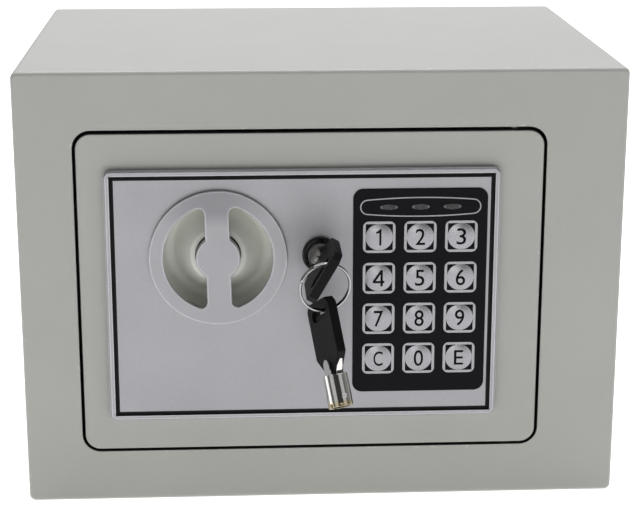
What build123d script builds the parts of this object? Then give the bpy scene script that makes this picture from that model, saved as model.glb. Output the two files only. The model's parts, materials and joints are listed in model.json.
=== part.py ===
from build123d import *
import math
import os

# Small electronic safe: steel cabinet, flush hinged door, moulded fascia with knob and keypad,
# bolt work driven by the knob, and a tubular lock that lifts the blocking plunger by hand.
# Millimetres. Origin: centre of the cabinet's base. X to the right, Y to the back, Z up.
# "Depth" in the names below is the distance behind the cabinet's front face; proud is negative.

# Cabinet
width = 230.0
depth = 170.0
height = 170.0
corner_radius = 2.5
body_wall = 1.5
frame_thickness = 2.0
front_edge_radius = 1.6
back_panel_thickness = 1.5

# Door opening, as the widths of the frame around it
frame_left = 21.6
frame_right = 30.3
frame_bottom = 20.5
frame_top = 22.0
opening_corner = 7.0

# Anchor holes in the base and the back
anchor_hole_radius = 5.0
anchor_spacing = 120.0
floor_anchor_y = 15.0
back_anchor_z = 120.0

# Floor mat
mat_thickness = 2.0
mat_gap = 2.0
mat_hole_radius = 7.0

# Door plate
door_thickness = 3.0
gap_side = 1.05
gap_top = 1.3
gap_bottom = 0.9
door_edge_radius = 0.7

# Concealed hinge on the right
hinge_inset = 11.0
hinge_depth = 5.5
pin_radius = 2.0
pin_clearance = 0.08
pin_engagement = 2.8
collar_radius = 3.3
bracket_thickness = 2.0
bracket_reach = 10.0
bracket_width = 14.0
bracket_flange = 1.2
bracket_height = 11.0
bracket_offset = 1.2
lug_width = 13.0
lug_height = 11.5
lug_depth = 7.5

# Mechanism case behind the door plate
case_depth = 23.0
case_wall = 1.2
case_left = 6.0
case_right = 17.6
case_edge = 5.6
case_corner = 3.0
cover_thickness = 1.2
gusset = 10.0
gusset_corner = 2.0
gusset_overlap = 0.5

# Fascia
fascia_width = 149.3
fascia_height = 99.1
fascia_shift_x = -3.15
fascia_shift_z = -0.45
fascia_corner = 2.8
rim_proud = 3.0
panel_proud = 2.6
groove_floor = 1.6
rim_width = 2.2
groove_width = 1.25
inlay_height = 0.7

# Knob and its dish, measured from the fascia's left edge and bottom edge
knob_from_left = 42.5
knob_from_bottom = 65.3
knob_radius = 26.2
knob_opening_radius = 20.7
knob_bar = 9.4
knob_hub_radius = 8.4
knob_thickness = 1.5
knob_gap = 0.3
knob_rib = 1.8
knob_seat = 1.6
knob_neck_gap = 0.1
opening_fillet = 2.2
knob_edge = 0.35
knob_lean = 1.1
knob_neck_radius = 6.0
dish_rim_radius = 23.0
dish_valley_outer = 20.8
dish_valley_inner = 17.2
dish_boss_radius = 10.4
dish_hole_radius = 8.7
dish_depth = 11.0
dish_boss_drop = 0.6
dish_valley_fillet = 1.7
dish_boss_fillet = 1.6
dish_sheet = 1.2
dish_flange = 27.0
fascia_knob_hole = 24.0
bush_gap = 0.3
bush_length = 8.2
spindle_radius = 4.0
spindle_fit = 0.06
square_size = 5.6
spindle_bore = 1.5
spindle_bore_depth = 6.0

# Crank and bolt carrier
crank_throw = 10.5
knob_turn = 80.0
crank_pin_radius = 2.5
crank_thickness = 2.5
crank_hub_radius = 7.0
crank_web_margin = 1.5
crank_pin_end = 0.8
crank_screw_head = 4.4
cam_screw_head = 4.2
slot_head_height = 1.6
head_slot_length = 7.0
head_slot_width = 0.8
head_slot_depth = 0.8
crank_depth = 14.5
carrier_depth = 19.0
carrier_thickness = 2.0
carrier_skirt = 6.0
carrier_top = 8.0
carrier_stud_edge = 4.5
carrier_column = 14.0
carrier_right = 17.0
carrier_foot = 30.5
carrier_arm_end = 7.5
carrier_arm_root = 4.0
carrier_door_gap = 1.2
carrier_dish_gap = 0.8
notch_fit = 0.5
slot_side_gap = 0.35
bolt_radius = 7.0
bolt_spread = 68.0
bolt_length = 19.5
bolt_tip_inset = 2.9
bolt_axis_depth = 10.5
bolt_chamfer = 1.2
bolt_hole_gap = 0.25
bolt_bore = 10.0
stud_radius = 2.5
stud_fit = 0.1
stud_end_gap = 0.3
stud_shoulder = 0.3
stud_neck = 0.7
stud_tail = 1.4
stud_low = 8.0
stud_left = 12.4
stud_right = 9.6
stud_dish_gap = 3.1
stud_from_top = 10.85
clip_rim = 1.8
clip_thickness = 0.8
clip_mouth = 1.6
screw_radius = 2.0
screw_bite = 9.5
screw_head_radius = 3.8
screw_head_height = 2.5

# Lock, measured from the fascia's left edge and bottom edge
lock_from_left = 81.0
lock_from_bottom = 66.2
bezel_radius = 6.85
bezel_height = 2.2
barrel_radius = 6.0
barrel_end = 13.2
barrel_fit = 0.1
bezel_edge = 0.45
keyway_radius = 4.75
lug_cavity_radius = 5.45
lug_clearance = 0.2
post_radius = 3.45
rotor_radius = 5.0
rotor_fit = 0.06
journal_length = 9.3
index_angle = 30.0
notch_angle = -95.0
notch_width = 1.9
mark_depth = 1.2
post_drop = 0.4
post_dimple_radius = 1.2
post_dimple_depth = 3.0
nut_flats = 16.0
nut_height = 3.0
cam_low = 7.0
cam_rise = 4.0
cam_sweep = 90.0
cam_thickness = 1.8
cam_gap = 0.2
cam_hub_step = 0.8

# Solenoid and plunger
plunger_radius = 3.0
plunger_depth = 20.0
plunger_length = 28.0
plunger_below_foot = 4.8
foot_radius = 1.5
foot_gap = 0.25
arm_gap = 0.3
arm_height = 9.0
collar_above_foot = 0.8
collar_thickness = 1.0
collar_reach = 1.6
spring_length = 8.0
spring_inside = 0.3
spring_outside = 1.2
coil_radius = 5.4
solenoid_wall = 1.5
solenoid_room = 0.4
frame_bore_gap = 0.1
coil_bore_gap = 0.15

# Tubular key, with its flat bow
key_tube_radius = 4.6
key_tube_bore = 3.55
key_tube_length = 12.0
key_inserted = 8.5
key_bow_width = 21.0
key_bow_length = 21.0
key_taper = 7.0
key_neck_width = 8.4
key_bow_thickness = 3.4
key_bow_corner = 2.2
key_slot_length = 13.0
key_slot_width = 4.2
key_slot_from_end = 5.2
tongue_width = 5.0
tongue_length = 6.0
tongue_thickness = 1.1
key_lug = 1.6
key_bits = 7
key_lug_from_tip = 3.6
key_lug_size = 1.2
key_lug_seat = 0.1
key_tube_web = 1.2
key_neck_flat = 1.2
key_shoulder_radius = 1.5
key_bow_edge = 0.35
bit_radius = 0.75

# Split ring and spare key
ring_wire = 0.5
ring_outer_radius = 9.9
ring_pitch = 0.9
ring_yaw = 12.0
ring_tilt = 10.0
ring_slit = 1.0
ring_hole_offset = 4.7
ring_top_angle = 80.0
ring_bottom_angle = -84.0
spare_turn = -68.5
spare_tilt = 28.0
wire_gap = 0.45

# Keypad, measured from the fascia's left edge and bottom edge
pad_from_left = 119.0
pad_from_bottom = 50.9
pad_width = 51.0
pad_height = 80.8
pad_corner = 3.8
pad_proud = 0.5
pad_skin = 1.0
pad_wall = 2.2
pad_side_wall = 0.8
window_gap = 0.1
key_size = 12.3
key_corner = 2.2
key_pitch_x = 15.6
key_pitch_z = 16.15
key_rows = 4
key_columns = 3
key_grid_drop = 2.6
key_gap = 0.12
key_line = 1.0
key_line_height = 0.12
key_dome = 0.55
key_travel = 0.6
key_flange = 0.6
key_flange_thickness = 0.75
stem_radius = 2.5
board_thickness = 1.6
membrane_margin = 6.3
switch_height = 6.0
switch_size = 6.0
chip_size = (16.0, 12.0)
chip_height = 2.0
buzzer_radius = 5.0
buzzer_height = 4.5
plug_size = (10.0, 6.0)
plug_height = 4.0
plug_margin = 4.2
lens_width = 45.2
lens_height = 7.0
lens_end_height = 5.3
lens_above_centre = 33.3
led_width = 6.7
led_height = 2.2
led_pitch = 12.0
led_proud = 0.15
led_lens_depth = 1.6

# Battery tray, cells and lid
cell_radius = 7.1
cell_length = 49.5
cell_count = 4
cell_pitch = 15.0
cell_depth = 18.0
tray_wall = 1.2
tray_gap = 0.6
contact_room = 1.6
contact_sheet = 0.4
contact_height = 10.0
contact_depth = 8.0
contact_base = 3.4
contact_tip = 2.2
cell_cap_radius = 2.75
cell_cap_height = 1.0
tray_corner = 2.0
cell_gap = 0.2
lid_overlap = 2.6
lid_thickness = 1.6
lid_rib = 1.6
lid_fit = 0.3
lid_ridge_pitch = 2.0
lid_ridge_length = 16.0
lid_ridge_inset = 8.0
lid_ridge_drop = 12.0
lid_ridge_height = 0.5
lid_ridges = 5
lid_corner = 3.0
lid_rib_wall = 1.5

# Reset button
reset_radius = 3.0
reset_fit = 0.08
reset_travel = 1.5
reset_proud = 1.3
reset_from_side = 13.2
reset_from_top = 26.15
reset_collar = 1.2
reset_collar_height = 1.2
reset_stem = 1.8
reset_edge = 0.5
reset_play = 0.1

# Cover screws
cover_screw_head = 2.8
cover_screw_radius = 1.5
head_height = 1.8
head_edge = 0.8
recess_length = 3.2
recess_width = 0.6
recess_depth = 0.9
cover_screw_reach = 5.0

# Places worked out from the sizes above
front_y = -depth / 2
opening_x = (-width / 2 + frame_left, width / 2 - frame_right)
opening_z = (frame_bottom, height - frame_top)
door_x = (opening_x[0] + gap_side, opening_x[1] - gap_side)
door_z = (opening_z[0] + gap_bottom, opening_z[1] - gap_top)
door_mid_z = (door_z[0] + door_z[1]) / 2
hinge_x = door_x[1] - hinge_inset
case_x = (door_x[0] + case_left, door_x[1] - case_right)
case_z = (door_z[0] + case_edge, door_z[1] - case_edge)
case_back = door_thickness + case_depth
cover_back = case_back + cover_thickness
fascia_x = (door_x[0] + door_x[1]) / 2 + fascia_shift_x
fascia_z = door_mid_z + fascia_shift_z
fascia_left = fascia_x - fascia_width / 2
fascia_bottom = fascia_z - fascia_height / 2
knob_x = fascia_left + knob_from_left
knob_z = fascia_bottom + knob_from_bottom
lock_x = fascia_left + lock_from_left
lock_z = fascia_bottom + lock_from_bottom
pad_x = fascia_left + pad_from_left
pad_z = fascia_bottom + pad_from_bottom
bolt_tip_x = door_x[0] + bolt_tip_inset
bolt_root_x = bolt_tip_x + bolt_length
bolt_z = (door_mid_z - bolt_spread / 2, door_mid_z + bolt_spread / 2)
bolt_throw = 2 * crank_throw * math.sin(math.radians(knob_turn / 2))
carrier_back = carrier_depth + carrier_thickness
crank_back = crank_depth + crank_thickness
knob_back = -panel_proud - knob_gap
knob_front = knob_back - knob_thickness
bezel_front = -panel_proud - bezel_height
pad_front = -panel_proud - pad_proud
rotor_front = barrel_end - journal_length
foot_z = lock_z + cam_low + foot_radius + foot_gap
plunger_z = foot_z - plunger_below_foot
arm_top = plunger_z - arm_gap
collar_z = foot_z + collar_above_foot
solenoid_top = case_z[1] - case_wall
solenoid_bottom = collar_z + collar_thickness + spring_length

face_plane = Plane(origin=(0, front_y, 0), x_dir=(1, 0, 0), z_dir=(0, -1, 0))


def block(x, y, z):
    """Box between two limits on each axis."""
    box = Box(x[1] - x[0], y[1] - y[0], z[1] - z[0])
    return Pos((x[0] + x[1]) / 2, (y[0] + y[1]) / 2, (z[0] + z[1]) / 2) * box


def deep_block(x, near, far, z):
    """Box between two limits in X and Z and two depths behind the front face."""
    return block(x, (front_y + near, front_y + far), z)


def slab(profile, near, far):
    """Solid of a front-view profile, between two depths behind the front face."""
    return extrude(face_plane.offset(-far) * profile, far - near)


def between(x, z, corner=0.0):
    """Front-view rectangle between two limits, with rounded corners if asked."""
    size = (x[1] - x[0], z[1] - z[0])
    shape = RectangleRounded(*size, corner) if corner else Rectangle(*size)
    return Pos((x[0] + x[1]) / 2, (z[0] + z[1]) / 2) * shape


def round_bar(x, z, radius, near, far):
    """Cylinder along Y."""
    return slab(Pos(x, z) * Circle(radius), near, far)


def ring_bar(x, z, outer, inner, near, far):
    """Tube along Y."""
    return slab(Pos(x, z) * (Circle(outer) - Circle(inner)), near, far)


def turned(profile, x, z):
    """Solid turned about a Y axis, from a profile of (radius, depth) points."""
    plane = Plane(origin=(x, front_y, z), x_dir=(1, 0, 0), z_dir=(0, 0, 1))
    return revolve(plane * profile, Axis((x, front_y, z), (0, 1, 0)))


def outline(points):
    """Flat face inside a closed run of straight edges."""
    return make_face(Polyline(*points, close=True))


def upright(x, y, z, radius):
    """Cylinder along Z between two heights."""
    return Pos(x, y, (z[0] + z[1]) / 2) * Cylinder(radius, z[1] - z[0])


def front_edges(solid, near):
    """Edges of a solid that lie in the plane at one depth."""
    return [e for e in solid.edges() if abs(e.bounding_box().min.Y - front_y - near) < 1e-4
            and abs(e.bounding_box().max.Y - front_y - near) < 1e-4]


# Cabinet


def make_cabinet_shell():
    """Wrap of top, bottom and sides, butted to the back of the front frame."""
    outer = Pos(0, height / 2) * RectangleRounded(width, height, corner_radius)
    inner = Pos(0, height / 2) * RectangleRounded(width - 2 * body_wall, height - 2 * body_wall,
                                                  corner_radius - body_wall)
    wrap = slab(outer - inner, frame_thickness, depth)
    for side in (-1, 1):
        hole = upright(side * anchor_spacing / 2, floor_anchor_y, (-1, body_wall + 1), anchor_hole_radius)
        wrap -= hole
    return wrap


def make_front_frame():
    """Front plate around the door opening, with softened outside edges."""
    plate = slab(Pos(0, height / 2) * RectangleRounded(width, height, corner_radius), 0, frame_thickness)
    plate = fillet(front_edges(plate, 0), front_edge_radius)
    return plate - slab(between(opening_x, opening_z, opening_corner), -1, frame_thickness + 1)


def make_back_panel():
    """Back plate set inside the wrap."""
    face = Pos(0, height / 2) * RectangleRounded(width - 2 * body_wall, height - 2 * body_wall,
                                                 corner_radius - body_wall)
    for side in (-1, 1):
        face -= Pos(side * anchor_spacing / 2, back_anchor_z) * Circle(anchor_hole_radius)
    return slab(face, depth - back_panel_thickness, depth)


def make_hinge_brackets():
    """Two angle brackets welded behind the frame, each with the hole for a hinge pin."""
    hinge_y = front_y + hinge_depth
    x = (hinge_x - bracket_width / 2, hinge_x + bracket_width / 2)
    brackets = []
    for edge, side in ((opening_z[0], -1), (opening_z[1], 1)):
        near = edge + side * bracket_offset
        far = near + side * bracket_thickness
        top = near + side * bracket_height
        leg = deep_block(x, frame_thickness, frame_thickness + bracket_reach, sorted((near, far)))
        leg += deep_block(x, frame_thickness, frame_thickness + bracket_flange, sorted((near, top)))
        leg -= upright(hinge_x, hinge_y, sorted((near - side, far + side)), pin_radius + pin_clearance)
        brackets.append(leg)
    return Compound(brackets)


def make_floor_mat():
    """Felt mat with holes over the floor anchors."""
    x = width / 2 - body_wall - mat_gap
    y = (front_y + frame_thickness + bracket_flange + mat_gap, depth / 2 - back_panel_thickness - mat_gap)
    mat = block((-x, x), y, (body_wall, body_wall + mat_thickness))
    for side in (-1, 1):
        mat -= upright(side * anchor_spacing / 2, floor_anchor_y, (0, body_wall + mat_thickness + 1),
                       mat_hole_radius)
    return mat


# Door and mechanism case


def pad_window(grow):
    """Rectangle behind the keypad, grown by a clearance."""
    size = (pad_width - 2 * pad_wall + 2 * grow, pad_height - 2 * pad_wall + 2 * grow)
    return Pos(pad_x, pad_z) * RectangleRounded(*size, 1.5)


def make_door_plate():
    """Flat door plate with its apertures for knob dish, lock and keypad."""
    plate = slab(between(door_x, door_z, opening_corner - gap_side), 0, door_thickness)
    plate = fillet(front_edges(plate, 0), door_edge_radius)
    plate -= round_bar(knob_x, knob_z, dish_rim_radius, -1, door_thickness + 1)
    plate -= round_bar(lock_x, lock_z, barrel_radius + barrel_fit, -1, door_thickness + 1)
    return plate - slab(pad_window(window_gap), -1, door_thickness + 1)


def make_finger_dish():
    """Pressed cup behind the knob: a round groove for the fingers about a raised boss."""
    back = door_thickness
    front = [(dish_flange, back), (dish_rim_radius, back), (dish_rim_radius - 0.9, back + 0.4),
             (dish_valley_outer, dish_depth), (dish_valley_inner, dish_depth),
             (dish_boss_radius, dish_boss_drop), (dish_hole_radius, dish_boss_drop)]
    rear = [(dish_hole_radius, dish_boss_drop + dish_sheet),
            (dish_boss_radius - dish_sheet / 2, dish_boss_drop + dish_sheet),
            (dish_valley_inner - dish_sheet / 2, dish_depth + dish_sheet),
            (dish_valley_outer + dish_sheet * 0.8, dish_depth + dish_sheet),
            (dish_rim_radius + 0.2, back + dish_sheet), (dish_flange, back + dish_sheet)]
    profile = outline(front + rear)
    valley = [v for v in profile.vertices() if v.Y > dish_depth - 0.1]
    profile = fillet(valley, dish_valley_fillet)
    boss = [v for v in profile.vertices() if abs(v.X - dish_boss_radius) < 0.01]
    return turned(fillet(boss, dish_boss_fillet), knob_x, knob_z)


def make_mechanism_case():
    """Open box welded to the door plate, with corner gussets that take the cover screws."""
    outer = between(case_x, case_z, case_corner)
    inner_x = (case_x[0] + case_wall, case_x[1] - case_wall)
    inner_z = (case_z[0] + case_wall, case_z[1] - case_wall)
    case = slab(outer - between(inner_x, inner_z, case_corner - case_wall), door_thickness, case_back)
    for x, z in cover_screw_places():
        tab = between((x - gusset / 2, x + gusset / 2), (z - gusset / 2, z + gusset / 2), gusset_corner)
        tab = slab(tab, case_back - case_wall, case_back) & slab(outer, 0, case_back)
        case += tab
        case -= round_bar(x, z, cover_screw_radius, 0, case_back + 1)
    for z in bolt_z:
        case -= Pos(case_x[0], front_y + bolt_axis_depth, z) * Rot(0, 90, 0) * Cylinder(
            bolt_radius + bolt_hole_gap, 4 * case_wall)
    return case


def cover_screw_places():
    """Centres of the four cover screws, in the corners of the case."""
    inset = case_wall + gusset / 2 - gusset_overlap
    return [(x, z) for x in (case_x[0] + inset, case_x[1] - inset)
            for z in (case_z[0] + inset, case_z[1] - inset)]


def hinge_seat(side):
    """Heights of a hinge lug and its pin: lug from, lug to, pin inner end, pin outer end."""
    door_end = door_z[0] if side < 0 else door_z[1] - gap_top
    inner = door_end - side * lug_height
    edge = opening_z[0] if side < 0 else opening_z[1]
    outer = edge + side * (bracket_offset + pin_engagement)
    return sorted((door_end, inner)), inner, outer


def make_hinge_lugs():
    """Two steel lugs welded behind the door plate, each holding a hinge pin."""
    x = (case_x[1], case_x[1] + lug_width)
    lugs = []
    for side in (-1, 1):
        lug, inner, outer = hinge_seat(side)
        body = deep_block(x, door_thickness, door_thickness + lug_depth, lug)
        body = chamfer(body.edges().filter_by(Axis.Z).sort_by(Axis.Y)[-2:], 1.5)
        lugs.append(body - upright(hinge_x, front_y + hinge_depth, sorted((inner, outer)), pin_radius))
    return Compound(lugs)


def make_hinge_pins():
    """Two pins; the lower one has the collar that carries the door."""
    pins = []
    for side in (-1, 1):
        lug, inner, outer = hinge_seat(side)
        pins.append(upright(hinge_x, front_y + hinge_depth, sorted((inner, outer)), pin_radius))
    collar = (opening_z[0] - bracket_offset + pin_clearance, door_z[0])
    pins[0] += upright(hinge_x, front_y + hinge_depth, collar, collar_radius)
    return Compound(pins)


def battery_box():
    """Outside limits of the battery tray in X and Z."""
    inner_width = cell_length + cell_cap_height + 2 * contact_room
    right = case_x[1] - case_wall - gusset - tray_gap
    bottom = case_z[0] + case_wall + tray_gap
    x = (right - inner_width - 2 * tray_wall, right)
    z = (bottom, bottom + cell_count * cell_pitch + 2 * tray_wall)
    return x, z


def make_rear_cover():
    """Cover plate of the case with the battery window and the reset hole."""
    cover = slab(between(case_x, case_z, case_corner), case_back, cover_back)
    x, z = battery_box()
    window = between((x[0] + tray_wall, x[1] - tray_wall), (z[0] + tray_wall, z[1] - tray_wall), tray_corner)
    cover -= slab(window, 0, cover_back + 1)
    reset_x, reset_z = reset_place()
    cover -= round_bar(reset_x, reset_z, reset_radius + reset_fit, 0, cover_back + 1)
    for screw_x, screw_z in cover_screw_places():
        cover -= round_bar(screw_x, screw_z, cover_screw_radius, 0, cover_back + 1)
    return cover


def make_cover_screws():
    """Four pan-head screws with cross recesses."""
    screws = []
    for x, z in cover_screw_places():
        head = round_bar(x, z, cover_screw_head, cover_back, cover_back + head_height)
        head = fillet(front_edges(head, cover_back + head_height), head_edge)
        for turn in (0, 90):
            recess = Pos(x, z) * Rot(0, 0, turn) * Rectangle(recess_length, recess_width)
            head -= slab(recess, cover_back + recess_depth, cover_back + 2 * head_height)
        shank = round_bar(x, z, cover_screw_radius, case_back - cover_screw_reach, cover_back)
        screws.append(head + shank)
    return Compound(screws)


# Fascia


def fascia_rect(inset, corner):
    """Rectangle of the fascia, drawn in by an inset."""
    size = (fascia_width - 2 * inset, fascia_height - 2 * inset)
    return Pos(fascia_x, fascia_z) * RectangleRounded(*size, corner)


def make_fascia():
    """Moulded silver panel with a raised rim, a groove inside it and four apertures."""
    body = slab(fascia_rect(0, fascia_corner), -rim_proud, 0)
    body = chamfer(front_edges(body, -rim_proud), 0.8)
    body -= slab(fascia_rect(rim_width, 1.2), -rim_proud - 1, -groove_floor)
    body += slab(fascia_rect(rim_width + groove_width, 0.6), -panel_proud, -groove_floor)
    body -= round_bar(knob_x, knob_z, fascia_knob_hole, -5, 1)
    body -= round_bar(lock_x, lock_z, barrel_radius + barrel_fit, -5, 1)
    return body - slab(pad_window(window_gap), -5, 1)


def make_fascia_inlay():
    """Black strip lying in the fascia's groove."""
    strip = fascia_rect(rim_width, 1.2) - fascia_rect(rim_width + groove_width, 0.6)
    return slab(strip, -groove_floor - inlay_height, -groove_floor)


# Keypad


def key_centres():
    """Names and centres of the twelve keys, row by row from the top."""
    names = ("1", "2", "3", "4", "5", "6", "7", "8", "9", "c", "0", "e")
    places = {}
    for index, name in enumerate(names):
        row, column = divmod(index, key_columns)
        x = pad_x + (column - (key_columns - 1) / 2) * key_pitch_x
        z = pad_z - key_grid_drop - (row - (key_rows - 1) / 2) * key_pitch_z
        places[name] = (x, z)
    return places


def lens_outline(grow):
    """Lens shape with gently bulging long sides and round ends."""
    half = lens_width / 2 + grow
    end = lens_end_height / 2 + grow
    flat = half - end
    mid = lens_height / 2 + grow
    edges = [ThreePointArc((-flat, end), (0, mid), (flat, end)),
             ThreePointArc((flat, end), (half, 0), (flat, -end)),
             ThreePointArc((flat, -end), (0, -mid), (-flat, -end)),
             ThreePointArc((-flat, -end), (-half, 0), (-flat, end))]
    return Pos(pad_x, pad_z + lens_above_centre) * make_face(edges)


def led_places():
    """Centres of the three status lights."""
    return [(pad_x + step * led_pitch, pad_z + lens_above_centre) for step in (-1, 0, 1)]


def make_keypad_plate():
    """Black keypad frame: thin front flange over the fascia, hollow body through it."""
    plate = slab(Pos(pad_x, pad_z) * RectangleRounded(pad_width, pad_height, pad_corner),
                 pad_front, -panel_proud)
    plate = fillet(front_edges(plate, pad_front), 0.25)
    plate += slab(pad_window(0), -panel_proud, 0.0)
    plate -= slab(pad_window(-pad_side_wall), pad_front + pad_skin, 1)
    for x, z in key_centres().values():
        hole = RectangleRounded(key_size + 2 * key_gap, key_size + 2 * key_gap, key_corner + key_gap)
        plate -= slab(Pos(x, z) * hole, pad_front - 1, 1)
    return plate - slab(lens_outline(window_gap), pad_front - 1, 1)


def make_led_window():
    """Smoked window of the status lights, with a hole for each."""
    window = slab(lens_outline(0), pad_front, pad_front + pad_skin + 0.6)
    for x, z in led_places():
        window -= slab(Pos(x, z) * Ellipse(led_width / 2, led_height / 2), pad_front - 1, 0)
    return window


def make_status_leds():
    """Three flat oval lights on round stems that reach the control board."""
    lights = []
    for x, z in led_places():
        lens = slab(Pos(x, z) * Ellipse(led_width / 2, led_height / 2), pad_front - led_proud,
                    pad_front + led_lens_depth)
        stem = round_bar(x, z, led_height / 2, pad_front + led_lens_depth, board_front())
        lights.append(lens + stem)
    return Compound(lights)


def board_front():
    """Depth of the control board's front face, at the back of the membrane."""
    return board_thickness


def make_key(x, z):
    """One key: square cap with a raised line round it, a domed centre, a flange and a stem."""
    size = key_size
    back = pad_front + pad_skin
    cap = slab(Pos(x, z) * RectangleRounded(size, size, key_corner), pad_front, back)
    inner = RectangleRounded(size - 2 * key_line, size - 2 * key_line, key_corner - key_line)
    line = Pos(x, z) * (RectangleRounded(size, size, key_corner) - inner)
    cap += slab(line, pad_front - key_line_height, pad_front)
    radius = size / 2 - key_line
    rise = ThreePointArc((0, pad_front - key_dome), (radius * 0.52, pad_front - key_dome * 0.74),
                         (radius, pad_front))
    dome = make_face([rise, Line((radius, pad_front), (0, pad_front)),
                      Line((0, pad_front), (0, pad_front - key_dome))])
    cap += turned(dome, x, z)
    wide = size + 2 * key_flange
    flange_front = back + 0.05
    flange_back = flange_front + key_flange_thickness
    cap += slab(Pos(x, z) * RectangleRounded(size, size, key_corner), back, flange_front)
    cap += slab(Pos(x, z) * RectangleRounded(wide, wide, key_corner), flange_front, flange_back)
    return cap + round_bar(x, z, stem_radius, flange_back, -key_travel - 0.1)


def make_key_membrane():
    """Silicone sheet between keys and board, with a raised pad behind each key."""
    half_x = (key_columns - 1) / 2 * key_pitch_x + membrane_margin
    half_z = (key_rows - 1) / 2 * key_pitch_z + membrane_margin
    x = (pad_x - half_x, pad_x + half_x)
    middle = pad_z - key_grid_drop
    z = (middle - half_z, middle + half_z)
    sheet = slab(between(x, z, 2), 0.1, board_front())
    for key_x, key_z in key_centres().values():
        sheet += round_bar(key_x, key_z, stem_radius + 0.8, -0.05, 0.1)
    return sheet


def make_control_board():
    """Circuit board behind the membrane, with chips, a buzzer, a plug and the reset switch."""
    front = board_front()
    back = front + board_thickness
    board = slab(pad_window(0), front, back)
    chip = Pos(pad_x - chip_size[0] / 3, pad_z) * Rectangle(*chip_size)
    board += slab(chip, back, back + chip_height)
    small = Pos(pad_x + chip_size[1], pad_z - 1.4 * chip_size[1]) * Rectangle(chip_size[0] / 2, chip_size[1])
    board += slab(small, back, back + chip_height)
    board += round_bar(pad_x + chip_size[1], pad_z + chip_size[0] / 2, buzzer_radius, back, back + buzzer_height)
    foot = pad_z - pad_height / 2 + pad_wall + plug_margin
    plug = Pos(pad_x - chip_size[0] * 0.8, foot + plug_size[1] / 2) * Rectangle(*plug_size)
    board += slab(plug, back, back + plug_height)
    x, z = reset_place()
    half = switch_size / 2
    return board + slab(between((x - half, x + half), (z - half, z + half)), back, switch_back())


# Lock


def make_lock_housing():
    """Lock barrel with its bezel, ring-shaped keyway, cavity for the key's lug, and two notches."""
    lug_near, lug_far = lug_depths()
    profile = outline([
        (keyway_radius, bezel_front), (bezel_radius, bezel_front), (bezel_radius, -panel_proud),
        (barrel_radius, -panel_proud), (barrel_radius, barrel_end),
        (rotor_radius + rotor_fit, barrel_end), (rotor_radius + rotor_fit, rotor_front),
        (keyway_radius, rotor_front), (keyway_radius, lug_far + lug_clearance),
        (lug_cavity_radius, lug_far + lug_clearance), (lug_cavity_radius, lug_near - lug_clearance),
        (keyway_radius, lug_near - lug_clearance)])
    rim = [v for v in profile.vertices() if abs(v.Y - bezel_front) < 0.01]
    housing = turned(chamfer(rim, bezel_edge), lock_x, lock_z)
    slot = Rot(0, 0, -index_angle) * Pos(0, lug_cavity_radius / 2) * Rectangle(notch_width, lug_cavity_radius)
    housing -= slab(Pos(lock_x, lock_z) * slot, bezel_front - 1, lug_near)
    mark = Rot(0, 0, -notch_angle) * Pos(0, lug_cavity_radius / 2) * Rectangle(notch_width, lug_cavity_radius)
    return housing - slab(Pos(lock_x, lock_z) * mark, bezel_front - 1, bezel_front + mark_depth)


def make_lock_nut():
    """Hexagon nut that clamps the barrel to the door plate."""
    nut = RegularPolygon(nut_flats / 2, 6, major_radius=False) - Circle(barrel_radius)
    return slab(Pos(lock_x, lock_z) * nut, door_thickness, door_thickness + nut_height)


def make_lock_rotor():
    """Turning core: centre post inside the keyway, plain journal and square tail."""
    rotor = round_bar(lock_x, lock_z, post_radius, bezel_front + post_drop, rotor_front)
    rotor += round_bar(lock_x, lock_z, rotor_radius, rotor_front, barrel_end)
    rotor += slab(Pos(lock_x, lock_z) * Rectangle(square_size, square_size), barrel_end, cam_back())
    dimple = round_bar(lock_x, lock_z, post_dimple_radius, bezel_front, bezel_front + post_dimple_depth)
    return rotor - dimple


def cam_front():
    """Depth of the cam's front face, just behind the barrel."""
    return barrel_end + cam_gap


def cam_back():
    """Depth of the cam's rear face."""
    return cam_front() + cam_thickness


def make_lock_cam():
    """Snail cam whose radius grows evenly over the turn of the key."""
    points = []
    for step in range(7):
        turn = math.radians(cam_sweep * step / 6)
        radius = cam_low + cam_rise * step / 6
        points.append((-radius * math.sin(turn), radius * math.cos(turn)))
    edge = Spline(*points)
    wing = make_face([edge, Line(points[-1], (0, 0)), Line((0, 0), points[0])])
    plate = Pos(lock_x, lock_z) * (wing + Circle(cam_low - cam_hub_step) - Rectangle(square_size, square_size))
    return slab(plate, cam_front(), cam_back())


def make_cam_screw():
    """Screw head that holds the cam on the rotor's tail."""
    return slotted_head(lock_x, lock_z, cam_screw_head, cam_back())


def slotted_head(x, z, radius, near):
    """Flat screw head with a slot across its rear face."""
    head = round_bar(x, z, radius, near, near + slot_head_height)
    slot = Pos(x, z) * Rectangle(head_slot_length, head_slot_width)
    return head - slab(slot, near + head_slot_depth, near + 2 * slot_head_height)


# Tubular key


def key_outline():
    """Bow outline about the centre of its slot: far end up, neck down."""
    top = key_slot_from_end
    shoulder = top - key_bow_length
    neck = shoulder - key_taper
    half = key_bow_width / 2
    end = key_neck_width / 2
    bow = outline([(-half, top), (half, top), (half, shoulder), (end, neck + key_neck_flat), (end, neck),
                   (-end, neck), (-end, neck + key_neck_flat), (-half, shoulder)])
    far = [v for v in bow.vertices() if v.Y > top - 0.1]
    bow = chamfer(far, key_bow_corner)
    low = [v for v in bow.vertices() if abs(v.Y - shoulder) < 0.1]
    bow = fillet(low, key_shoulder_radius)
    return bow - SlotOverall(key_slot_length, key_slot_width)


def make_key_bow():
    """Plastic bow in its own frame: X across, Y through it, Z towards its far end."""
    plane = Plane(origin=(0, key_bow_thickness / 2, 0), x_dir=(1, 0, 0), z_dir=(0, -1, 0))
    bow = extrude(plane * key_outline(), key_bow_thickness)
    side = [e for e in bow.edges() if abs(abs(e.center().Y) - key_bow_thickness / 2) < 1e-4
            and abs(e.center().X) > key_slot_length / 2 + 1]
    return chamfer(side, key_bow_edge)


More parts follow.
